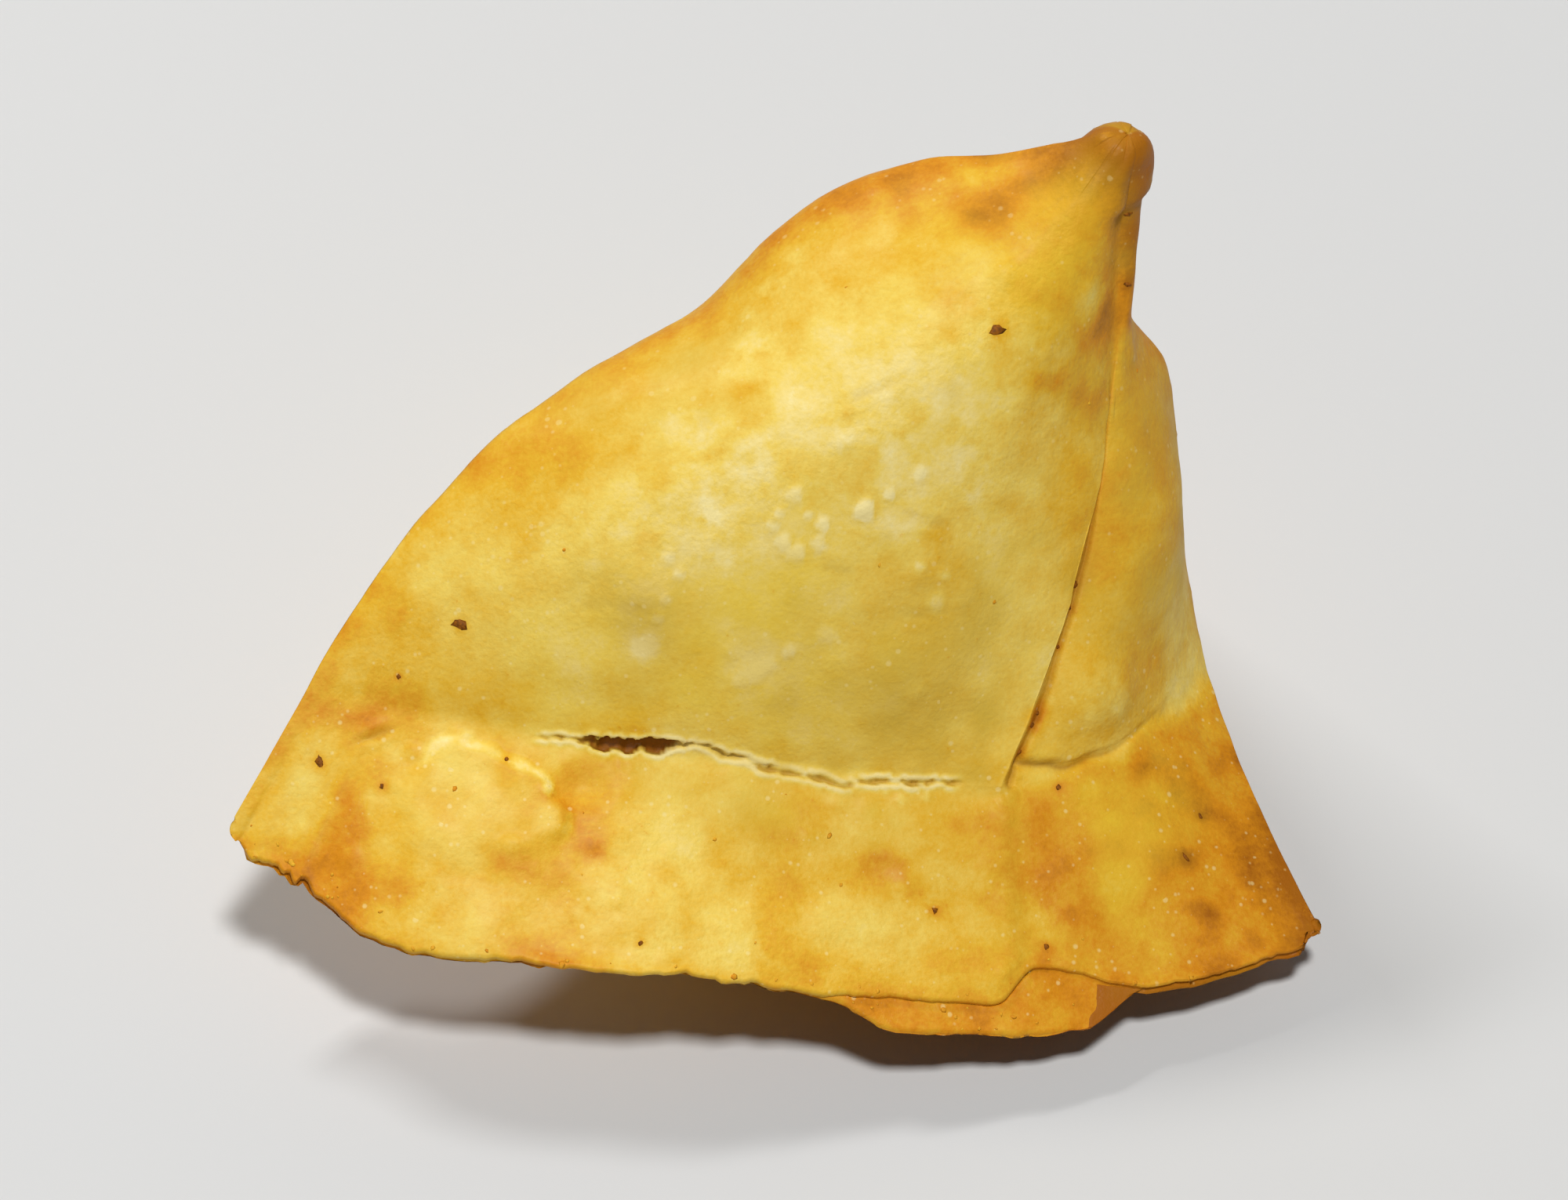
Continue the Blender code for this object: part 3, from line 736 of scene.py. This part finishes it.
    def colour_fields(self):
        """The numbers that the dough's material reads, each for every point of the mesh."""
        mottle_front, mottle_back = (
            0.08 * unevenness(half, 11, 31) + 0.09 * unevenness(half, 5, 32) + 0.07 * unevenness(half, 2.2, 33)
            for half in (self.front, self.back))
        mottle_front = mottle_front * (1 + 0.5 * ramp(self.rows, 1.0, 1.1))[:, None]
        near_side = ramp(np.minimum(self.columns, 1 - self.columns)[::2], 0, 0.10)[None, :]
        halos = [(row, column, 0.35 + 0.5 * length, 0.35) for row, column, length, _, _ in SPECKS]
        brown_front = 0.25 + 0.07 * ramp(self.rows, 1.0, 1.1)[:, None] + self.rim_browning(self.front, self.columns)
        brown_front = brown_front + self.patches(self.front, BROWN_PLACES, 34) + self.patches(self.front, halos, 43)
        under = 0.30 * ramp(-self.back[..., 2], -22, 0) + 0.25 * ramp(self.rows, 1.0, 1.2)[:, None]
        brown_back = 0.33 + self.rim_browning(self.back, self.columns[::2]) * 0.9 + under
        brown_back = brown_back + self.patches(self.back, BROWN_PLACES, 34)
        brown_back = self.side_values(brown_front) * (1 - near_side) + brown_back * near_side
        pale_front = self.patches(self.front, PALE_PLACES, 36) + 0.35 * ramp(self.front_height, 0.35, 1.2)
        pale_back = 0.25 * ramp(unevenness(self.back, 7, 37), 0.1, 0.8) * near_side
        pale_back = pale_back + self.patches(self.back, PALE_PLACES, 36)
        # Olive on the back: partly the dough's greenish tone, partly painted shade.
        olive_and_painted_shade_back = 0.35 * ramp(unevenness(self.back, 12, 38), 0.0, 0.8) * near_side
        olive_and_painted_shade_back = olive_and_painted_shade_back + self.patches(self.back, OLIVE_AND_PAINTED_SHADE_PLACES, 39)
        # Gold on the back: partly oily yellow dough, partly painted light.
        gold_and_painted_light_back = 0.35 * ramp(unevenness(self.back, 14, 40), 0.1, 0.9) * near_side
        gold_and_painted_light_back = gold_and_painted_light_back + self.patches(self.back, GOLD_AND_PAINTED_LIGHT_PLACES, 41)
        return {
            "browning": self.spread(brown_front + mottle_front, brown_back + mottle_back),
            "pallor": self.spread(pale_front, pale_back),
            "crisp_pallor": self.spread(self.pale, 0 * pale_back),
            "olive_and_painted_shade": self.spread(self.patches(self.front, OLIVE_AND_PAINTED_SHADE_PLACES, 39), olive_and_painted_shade_back),
            "gold_and_painted_light": self.spread(self.patches(self.front, GOLD_AND_PAINTED_LIGHT_PLACES, 41), gold_and_painted_light_back),
            # The painted shade of the crack, grooves, folds and wrinkles.
            "hollow": self.spread(self.painted_shade, 0 * pale_back),
            "fleck": self.spread(0.55 + 0.45 * ramp(self.rows, 0.5, 1.1)[:, None] + 0 * pale_front, 0.6 + 0 * pale_back),
        }


def new_object(name, points, faces, material):
    """A smooth mesh object from points in millimetres, with its faces turned outwards."""
    mesh = bpy.data.meshes.new(name)
    mesh.from_pydata((points * MM).tolist(), [], faces)
    mesh.validate()
    mesh.shade_smooth()
    mesh.materials.append(material)
    piece = bpy.data.objects.new(name, mesh)
    bpy.context.scene.collection.objects.link(piece)
    return piece


def add_node(tree, kind, inputs=None, **settings):
    """Adds a node with its settings. Each input takes a link from a socket, or else a value."""
    node = tree.nodes.new(kind)
    for name, value in settings.items():
        setattr(node, name, value)
    for key, source in (inputs or {}).items():
        if isinstance(source, bpy.types.NodeSocket):
            tree.links.new(source, node.inputs[key])
        else:
            node.inputs[key].default_value = source
    return node


def new_material(name):
    """A node material with its shader and the Object coordinates."""
    material = bpy.data.materials.new(name)
    material.use_nodes = True
    tree = material.node_tree
    place = add_node(tree, "ShaderNodeTexCoord").outputs["Object"]
    return material, tree, tree.nodes["Principled BSDF"], place


def fried_dough(look):
    """Wheat dough fried in oil: a pale to brown crust with fine blisters under a thin film of oil.

    The eye sees golden mottling, amber rims, cream flecks on the tiniest blisters that are partly painted glints,
    and a soft gloss that breaks up over the grain.
    """
    material, tree, shader, place = new_material("deep_fried_wheat_dough")
    mottle, fine, grit, patchy, cluster = (
        add_node(tree, "ShaderNodeTexNoise", {"Vector": place, "Scale": 1 / (size * MM), "Detail": detail,
                                              "Roughness": rough}).outputs["Fac"]
        for size, detail, rough in ((3.0, 4, 0.5), (0.8, 3, 0.6), (0.38, 2, 0.6), (2.2, 4, 0.6), (5.0, 3, 0.6)))

    # Browning less two kinds of pallor, less half of the three gains, as a noise averages a half.
    patches = add_node(tree, "ShaderNodeMapRange", {"Value": patchy, "From Min": 0.20, "From Max": 0.80})
    tone = add_node(tree, "ShaderNodeAttribute", attribute_name="browning").outputs["Fac"]
    for name, pattern, gain in (("pallor", patches.outputs["Result"], -0.90), ("crisp_pallor", fine, -1.6)):
        pallor = add_node(tree, "ShaderNodeAttribute", attribute_name=name).outputs["Fac"]
        pallor = add_node(tree, "ShaderNodeMath", {0: pallor, 1: pattern}, operation="MULTIPLY").outputs[0]
        tone = add_node(tree, "ShaderNodeMath", {0: pallor, 1: gain, 2: tone}, operation="MULTIPLY_ADD").outputs[0]
    for pattern, gain in ((mottle, 0.36), (fine, 0.28), (grit, 0.22)):
        tone = add_node(tree, "ShaderNodeMath", {0: pattern, 1: gain, 2: tone}, operation="MULTIPLY_ADD").outputs[0]
    tone = add_node(tree, "ShaderNodeMapRange", {"Value": tone, "From Min": 0.43 - 0.35, "From Max": 0.43 + 1.0})
    tones = add_node(tree, "ShaderNodeValToRGB", {"Fac": tone.outputs["Result"]})
    stops = tones.color_ramp.elements
    stops[0].position, stops[0].color = 0.0, (*look.cream, 1)
    stops[1].position, stops[1].color = 1.0, (*look.brown, 1)
    for position, shade in ((0.33, look.straw), (0.57, look.golden), (0.78, look.amber)):
        stops.new(position).color = (*shade, 1)
    crust = tones.outputs["Color"]

    # Round flecks: one in each random cell, as large as the cell's own number and the cluster allow. They are partly
    # pale blisters, partly painted glints.
    cells = add_node(tree, "ShaderNodeTexVoronoi", {"Vector": place, "Scale": 1 / (0.75 * MM)})
    radius = add_node(tree, "ShaderNodeMath", {0: cells.outputs["Color"], 1: 0.75, 2: -0.20},
                      operation="MULTIPLY_ADD").outputs[0]
    spread = add_node(tree, "ShaderNodeMapRange", {"Value": cluster, "From Min": 0.40, "From Max": 0.62,
                                                   "To Min": 0.3, "To Max": 1.0}).outputs["Result"]
    radius = add_node(tree, "ShaderNodeMath", {0: radius, 1: spread}, operation="MULTIPLY").outputs[0]
    inside = add_node(tree, "ShaderNodeMath", {0: radius, 1: cells.outputs["Distance"]},
                      operation="SUBTRACT").outputs[0]
    flecks = add_node(tree, "ShaderNodeMath", {0: inside, 1: 5.0}, operation="MULTIPLY", use_clamp=True).outputs[0]
    pits = add_node(tree, "ShaderNodeMapRange", {"Value": fine, "From Min": 0.70, "From Max": 0.76}).outputs["Result"]

    # Layers of colour over the browned tone: (field, pattern, gain, colour).
    # Gold is partly oily yellow dough and partly painted light on the lower front face; olive is partly the dough's
    # tone and partly painted shade.
    layers = (("gold_and_painted_light", 1.0, 0.8, look.yellow_and_painted_light), ("olive_and_painted_shade", 1.0, 0.9, look.olive_and_painted_shade),
              # The cream flecks are partly pale blisters, partly painted glints.
              ("fleck", flecks, 0.45, look.cream), ("fleck", pits, 0.40, look.amber),
              # hollow is painted shade: the crack, grooves, folds and wrinkles darkened with the shade colour.
              ("hollow", 1.0, 1.0, look.gap))
    for name, pattern, gain, shade in layers:
        field = add_node(tree, "ShaderNodeAttribute", attribute_name=name).outputs["Fac"]
        amount = add_node(tree, "ShaderNodeMath", {0: field, 1: gain}, operation="MULTIPLY").outputs[0]
        amount = add_node(tree, "ShaderNodeMath", {0: amount, 1: pattern}, operation="MULTIPLY",
                          use_clamp=True).outputs[0]
        crust = add_node(tree, "ShaderNodeMix", {0: amount, 6: crust, 7: (*shade, 1)},
                         data_type="RGBA").outputs[2]

    sheen = add_node(tree, "ShaderNodeMapRange", {"Value": mottle, "From Min": 0.3, "From Max": 0.7,
                     "To Min": look.roughness - 0.08, "To Max": look.roughness + 0.12})
    grain = add_node(tree, "ShaderNodeTexVoronoi", {"Vector": place, "Scale": 1 / (0.6 * MM), "Smoothness": 0.5},
                     feature="SMOOTH_F1").outputs["Distance"]
    relief = add_node(tree, "ShaderNodeMath", {0: grain, 1: 0.6, 2: grit}, operation="MULTIPLY_ADD").outputs[0]
    relief = add_node(tree, "ShaderNodeMath", {0: fine, 1: 0.8, 2: relief}, operation="MULTIPLY_ADD").outputs[0]
    bump = add_node(tree, "ShaderNodeBump", {"Strength": 0.5, "Distance": 0.11 * MM, "Height": relief})
    tree.links.new(crust, shader.inputs["Base Color"])
    tree.links.new(sheen.outputs["Result"], shader.inputs["Roughness"])
    tree.links.new(bump.outputs["Normal"], shader.inputs["Normal"])
    shader.inputs["Specular IOR Level"].default_value = 0.10
    shader.inputs["Coat Weight"].default_value = look.oil
    shader.inputs["Coat Roughness"].default_value = 0.28
    return material


def burnt_seed(look):
    """Carom seed toasted in the oil: nearly black brown, dull, with a fine grain."""
    material, tree, shader, place = new_material("toasted_carom_seed")
    grain = add_node(tree, "ShaderNodeTexNoise", {"Vector": place, "Scale": 1 / (0.3 * MM), "Detail": 3}).outputs["Fac"]
    tones = add_node(tree, "ShaderNodeValToRGB", {"Fac": grain})
    tones.color_ramp.elements[0].position, tones.color_ramp.elements[0].color = 0.3, (*look.speck, 1)
    tones.color_ramp.elements[1].position, tones.color_ramp.elements[1].color = 0.75, (*look.brown, 1)
    bump = add_node(tree, "ShaderNodeBump", {"Strength": 0.5, "Distance": 0.05 * MM, "Height": grain})
    tree.links.new(tones.outputs["Color"], shader.inputs["Base Color"])
    tree.links.new(bump.outputs["Normal"], shader.inputs["Normal"])
    shader.inputs["Roughness"].default_value = 0.6
    shader.inputs["Specular IOR Level"].default_value = 0.15
    return material


def fried_crumb(look):
    """Flaked crust: the same fried dough in tiny bits, amber with pale broken faces."""
    material, tree, shader, place = new_material("flaked_fried_crust")
    tone = add_node(tree, "ShaderNodeTexNoise", {"Vector": place, "Scale": 1 / (1.6 * MM), "Detail": 2}).outputs["Fac"]
    tones = add_node(tree, "ShaderNodeValToRGB", {"Fac": tone})
    tones.color_ramp.elements[0].position, tones.color_ramp.elements[0].color = 0.35, (*look.amber, 1)
    tones.color_ramp.elements[1].position, tones.color_ramp.elements[1].color = 0.65, (*look.golden, 1)
    tree.links.new(tones.outputs["Color"], shader.inputs["Base Color"])
    shader.inputs["Roughness"].default_value = 0.6
    shader.inputs["Specular IOR Level"].default_value = 0.15
    return material


def studio_floor(settings):
    """Sprayed pale board: matt, with a hardly visible unevenness, so that only shadows show on it."""
    material, tree, shader, place = new_material("sprayed_studio_board")
    cloud = add_node(tree, "ShaderNodeTexNoise", {"Vector": place, "Scale": 6.0, "Detail": 2}).outputs["Fac"]
    rough = add_node(tree, "ShaderNodeMapRange", {"Value": cloud, "To Min": 0.55, "To Max": 0.65})
    tree.links.new(rough.outputs["Result"], shader.inputs["Roughness"])
    shader.inputs["Base Color"].default_value = (*settings.floor, 1)
    return material


def lump(rng, sides, rings, roughness):
    """A small uneven lump of radius 1: a sphere of rings, its points pushed in and out at random."""
    polar = np.linspace(0, np.pi, rings + 2)[1:-1, None]
    around = np.linspace(0, 2 * np.pi, sides, endpoint=False)[None, :]
    walls = np.stack([np.sin(polar) * np.cos(around), np.sin(polar) * np.sin(around),
                      np.cos(polar) + 0 * around], axis=-1).reshape(-1, 3)
    points = np.concatenate([[[0, 0, 1.0]], walls, [[0, 0, -1.0]]])
    points *= rng.uniform(1 - roughness, 1 + roughness, (len(points), 1))
    index = 1 + np.arange(rings * sides).reshape(rings, sides)
    following = np.roll(index, -1, axis=1)
    faces = [[0, a, b] for a, b in zip(index[0], following[0])]
    faces += np.stack([index[:-1], index[1:], following[1:], following[:-1]], axis=-1).reshape(-1, 4).tolist()
    last = len(points) - 1
    faces += [[last, b, a] for a, b in zip(index[-1], following[-1])]
    return points, [[int(i) for i in face] for face in faces]


def laid_on(centre, normal, turn, sizes, points):
    """Points scaled to sizes, turned about the normal and set down with their middle at centre."""
    helper = np.array([1.0, 0, 0]) if abs(normal[0]) < 0.9 else np.array([0, 1.0, 0])
    first = np.cross(normal, helper)
    first /= np.linalg.norm(first)
    second = np.cross(normal, first)
    along = np.cos(turn) * first + np.sin(turn) * second
    beside = -np.sin(turn) * first + np.cos(turn) * second
    return centre + (points * sizes) @ np.stack([along, beside, normal])


def joined(parts):
    """Several (points, faces) joined into one."""
    points, faces, start = [], [], 0
    for part_points, part_faces in parts:
        points.append(part_points)
        faces += [[i + start for i in face] for face in part_faces]
        start += len(part_points)
    return np.concatenate(points), faces


MADE = {}


class SAMOSA_OT_pastry(Operator):
    """Make the fried dough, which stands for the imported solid"""

    bl_idname = "samosa.pastry"
    bl_label = "Pastry"

    def execute(self, context):
        grid = DoughGrid(context.scene.samosa_shape)
        MADE["grid"] = grid
        piece = new_object("pastry", grid.points(), grid.faces(), fried_dough(context.scene.samosa_look))
        for name, values in grid.colour_fields().items():
            layer = piece.data.attributes.new(name, "FLOAT", "POINT")
            layer.data.foreach_set("value", np.clip(values, 0, 1.5).astype(np.float32))
        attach(piece, BODY)
        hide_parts(NODE)
        return {"FINISHED"}


class SAMOSA_OT_specks(Operator):
    """Press the dark seed specks into the dough"""

    bl_idname = "samosa.specks"
    bl_label = "Specks"

    def execute(self, context):
        grid = MADE["grid"]
        normals = outward(grid.front)
        rng = np.random.default_rng(71)
        parts = []
        for row, column, length, width, turn in SPECKS:
            i, j = nearest(grid.rows, grid.columns, (row, column))
            points, faces = lump(rng, 9, 3, 0.38)
            sizes = np.array([length / 2, width / 2, 0.11])
            parts.append((laid_on(grid.front[i, j], normals[i, j], np.radians(turn), sizes, points), faces))
        piece = new_object("carom_specks", *joined(parts), burnt_seed(context.scene.samosa_look))
        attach(piece, BODY)
        return {"FINISHED"}


class SAMOSA_OT_crumbs(Operator):
    """Scatter crumbs of crust along the flap's edge and in the folds"""

    bl_idname = "samosa.crumbs"
    bl_label = "Crumbs"

    def execute(self, context):
        grid = MADE["grid"]
        crumbs = context.scene.samosa_crumbs
        normals = outward(grid.front)
        rng = np.random.default_rng(72)
        parts = []
        for number in range(crumbs.count):
            if number % 4 == 0:
                row, column = rng.uniform(1.88, 1.99), rng.uniform(0.01, 0.16)
            elif number % 4 == 1:
                row, column = rng.uniform(2.2, 2.9), rng.uniform(0.56, 0.80)
            elif number % 4 == 2:
                row, column = rng.uniform(1.95, 1.995), rng.uniform(0.15, 0.97)
            else:
                row, column = rng.uniform(0.3, 1.9), rng.uniform(0.1, 0.9)
            i, j = nearest(grid.rows, grid.columns, (row, column))
            radius = rng.uniform(crumbs.smallest, crumbs.largest) / MM
            points, faces = lump(rng, 6, 3, 0.4)
            sizes = radius * rng.uniform((0.6, 0.6, 0.25), (1.3, 1.3, 0.6))
            parts.append((laid_on(grid.front[i, j], normals[i, j], rng.uniform(0, np.pi), sizes, points), faces))
        piece = new_object("crust_crumbs", *joined(parts), fried_crumb(context.scene.samosa_look))
        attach(piece, BODY)
        return {"FINISHED"}


def sweep(width, depth, height, bend):
    """A floor that bends up into a backdrop: a flat run, a quarter circle and an upright, in metres."""
    angle = np.linspace(0, np.pi / 2, 24)
    curve_y = depth - bend + bend * np.sin(angle)
    curve_z = bend - bend * np.cos(angle)
    profile_y = np.concatenate([[-depth], curve_y, [depth]])
    profile_z = np.concatenate([[0], curve_z, [height]])
    across = np.linspace(-width / 2, width / 2, 9)
    points = np.stack(np.broadcast_arrays(across[:, None], profile_y[None, :], profile_z[None, :]), axis=-1)
    index = np.arange(points.shape[0] * points.shape[1]).reshape(points.shape[:2])
    faces = np.stack([index[:-1, :-1], index[1:, :-1], index[1:, 1:], index[:-1, 1:]], axis=-1)
    return points.reshape(-1, 3) / MM, faces.reshape(-1, 4).tolist()


def add_light(name, place, power, size):
    """A white rectangular area light, size[0] wide and size[1] high, aimed at the middle of the samosa."""
    light = bpy.data.lights.new(name, "AREA")
    light.energy = power
    light.shape = "RECTANGLE"
    light.size, light.size_y = size
    lamp = bpy.data.objects.new(name, light)
    lamp.location = place
    aim = Vector((0, 0, 0.02)) - lamp.location
    lamp.rotation_euler = aim.to_track_quat("-Z", "Y").to_euler()
    bpy.context.scene.collection.objects.link(lamp)
    return lamp


class SAMOSA_OT_stage(Operator):
    """Set up the floor, the lights and the camera"""

    bl_idname = "samosa.stage"
    bl_label = "Stage"

    def execute(self, context):
        studio = context.scene.samosa_studio
        floor = new_object("floor", *sweep(4.0, 1.5, 1.8, 0.5), studio_floor(studio))
        add_light("key", (-0.63, 0.85, 1.15), studio.key, (0.45, 0.14))
        add_light("soft", (0.06, -0.34, 1.97), studio.soft, (0.30, 0.30))
        fill = add_light("fill", (-0.25, -1.20, 1.45), studio.fill, (0.60, 0.60))
        fill.light_linking.receiver_collection = bpy.data.collections.new("lit_by_fill")
        for name in PIECES:
            fill.light_linking.receiver_collection.objects.link(bpy.data.objects[name])
        world = bpy.data.worlds.new("studio_air")
        world.use_nodes = True
        background = world.node_tree.nodes["Background"]
        background.inputs["Color"].default_value = (1, 1, 1, 1)
        background.inputs["Strength"].default_value = studio.ambient
        context.scene.world = world
        context.scene.view_settings.view_transform = "Standard"
        self.place_camera(context, studio)
        return {"FINISHED"}

    def place_camera(self, context, studio):
        """A camera in front, 49 degrees up, a little to the left and rolled by a few degrees."""
        low, high = (np.array(corner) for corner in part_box(NODE))
        middle = (low + high) / 2
        place = Vector((middle[0] - 0.0377, middle[1] - 0.2944, 0.3601))
        target = Vector((middle[0] + 0.0004, middle[1] - 0.0017, 0.024))
        camera = bpy.data.cameras.new("camera")
        camera.lens = studio.lens
        camera.clip_start = 0.01
        view = bpy.data.objects.new("camera", camera)
        turn = (target - place).to_track_quat("-Z", "Y").to_matrix().to_4x4()
        roll = Matrix.Rotation(np.radians(5.75), 4, "Z")
        view.matrix_world = Matrix.Translation(place) @ turn @ roll
        context.scene.collection.objects.link(view)
        context.scene.camera = view


class SAMOSA_PT_sidebar(Panel):
    """Buttons for each piece and the settings they read"""

    bl_label = "Samosa"
    bl_idname = "SAMOSA_PT_sidebar"
    bl_space_type = "VIEW_3D"
    bl_region_type = "UI"
    bl_category = "Samosa"

    def draw(self, context):
        for operator in OPERATORS:
            self.layout.operator(operator.bl_idname)
        for title, settings in (("Shape", context.scene.samosa_shape), ("Look", context.scene.samosa_look),
                                ("Crumbs", context.scene.samosa_crumbs), ("Studio", context.scene.samosa_studio)):
            box = self.layout.box()
            box.label(text=title)
            for name in settings.__annotations__:
                box.prop(settings, name)


OPERATORS = (SAMOSA_OT_pastry, SAMOSA_OT_specks, SAMOSA_OT_crumbs, SAMOSA_OT_stage)
SETTINGS = {"samosa_shape": DoughShape, "samosa_look": DoughLook, "samosa_crumbs": Crumbs, "samosa_studio": Studio}


def register():
    for part in (*SETTINGS.values(), *OPERATORS, SAMOSA_PT_sidebar):
        bpy.utils.register_class(part)
    for name, settings in SETTINGS.items():
        setattr(bpy.types.Scene, name, PointerProperty(type=settings))


def unregister():
    for name in SETTINGS:
        delattr(bpy.types.Scene, name)
    for part in reversed((*SETTINGS.values(), *OPERATORS, SAMOSA_PT_sidebar)):
        bpy.utils.unregister_class(part)


def main():
    register()
    bpy.ops.samosa.pastry()
    bpy.ops.samosa.specks()
    bpy.ops.samosa.crumbs()
    bpy.ops.samosa.stage()
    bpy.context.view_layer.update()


if __name__ == "__main__":
    main()
